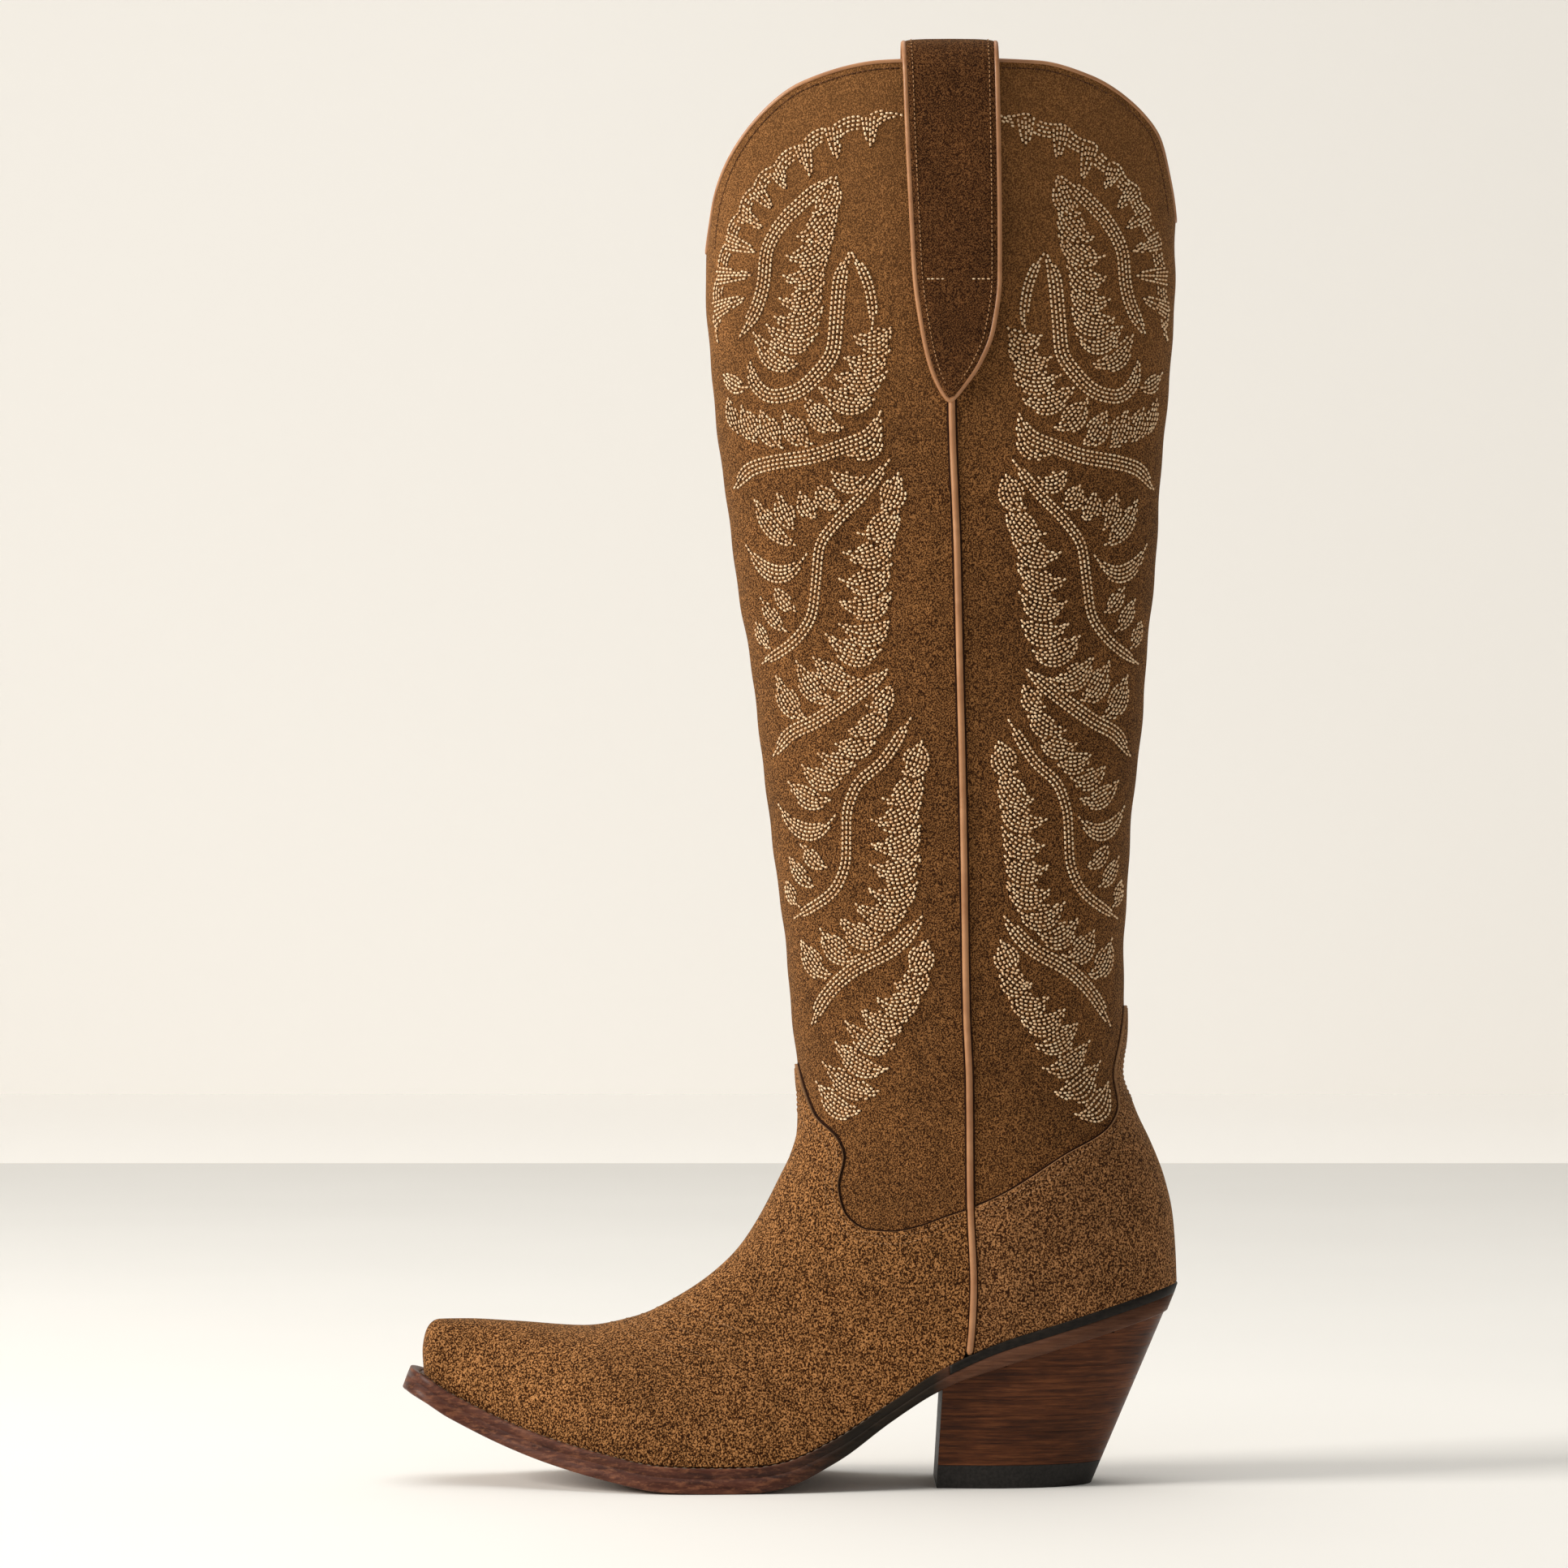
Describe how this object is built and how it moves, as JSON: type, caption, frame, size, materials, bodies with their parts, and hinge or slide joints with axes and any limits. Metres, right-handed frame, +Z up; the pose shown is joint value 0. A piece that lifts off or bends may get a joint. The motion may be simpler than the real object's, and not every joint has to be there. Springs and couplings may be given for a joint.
{
  "type": "cowboy boot",
  "caption": "Tall western riding boot for a left foot: embroidered suede shaft with pull straps, snip toe, welted leather sole and a slanted stacked heel",
  "frame": {"origin": "On the floor under the middle of the boot's length and width, at the level that the heel cap and the ball of the sole rest on", "axes": "+X from toe to heel, -Y towards the outer (lateral) side of the foot, +Z up the shaft"},
  "size_m": [0.2696, 0.0975, 0.4983],
  "materials": {
    "suede_shaft": "napped suede, dark brown with a fine light grain",
    "suede_vamp": "napped suede, rubbed paler over the toe",
    "suede_counter": "napped suede, paler towards the back",
    "suede_strap": "napped suede, darkest on the pull straps",
    "tan_piping": "smooth tan piping with a soft sheen",
    "collar_binding": "smooth tan binding folded over the edge",
    "lining_leather": "smooth undyed lining leather",
    "footbed_leather": "smooth undyed leather over a cushion",
    "stiffener_board": "matte fibre board",
    "cork_filler": "matte granulated cork",
    "shank_steel": "ribbed sprung steel",
    "welt_leather": "burnished reddish-brown edge with a stitched top",
    "outsole_leather": "burnished reddish-brown edge, smooth matte underside",
    "heel_stack": "stacked leather, dark brown with fine level layers",
    "black_rand": "black polished edge",
    "cap_rubber": "matte black rubber",
    "screw_steel": "plain steel",
    "nail_brass": "dull brass",
    "peg_wood": "pale lemonwood"
  },
  "bodies": {
    "root": {"back_shaft": "suede_shaft", "bottom_filler": "cork_filler", "cap_nail_1": "nail_brass", "cap_nail_2": "nail_brass", "cap_nail_3": "nail_brass", "cap_nail_4": "nail_brass", "cap_nail_5": "nail_brass", "cap_nail_6": "nail_brass", "collar_binding_back": "collar_binding", "collar_binding_front": "collar_binding", "counter_lining": "lining_leather", "counter_stiffener": "stiffener_board", "footbed": "footbed_leather", "front_shaft": "suede_shaft", "heel_cap": "cap_rubber", "heel_counter": "suede_counter", "heel_lift_1": "heel_stack", "heel_lift_2": "heel_stack", "heel_lift_3": "heel_stack", "heel_lift_4": "heel_stack", "heel_lift_5": "heel_stack", "heel_lift_6": "heel_stack", "heel_lift_7": "heel_stack", "heel_lift_8": "heel_stack", "heel_lift_9": "heel_stack", "heel_rand": "black_rand", "heel_screw": "screw_steel", "insole_board": "stiffener_board", "outsole": "outsole_leather", "pull_strap_inner": "suede_strap", "pull_strap_inner_piping": "tan_piping", "pull_strap_outer": "suede_strap", "pull_strap_outer_piping": "tan_piping", "shaft_lining_back": "lining_leather", "shaft_lining_front": "lining_leather", "shank": "shank_steel", "side_piping_inner": "tan_piping", "side_piping_outer": "tan_piping", "toe_puff": "stiffener_board", "vamp": "suede_vamp", "vamp_lining": "lining_leather", "waist_peg_1": "peg_wood", "waist_peg_2": "peg_wood", "waist_peg_3": "peg_wood", "waist_peg_4": "peg_wood", "waist_peg_5": "peg_wood", "waist_peg_6": "peg_wood", "welt": "welt_leather"}
  },
  "joints": []
}
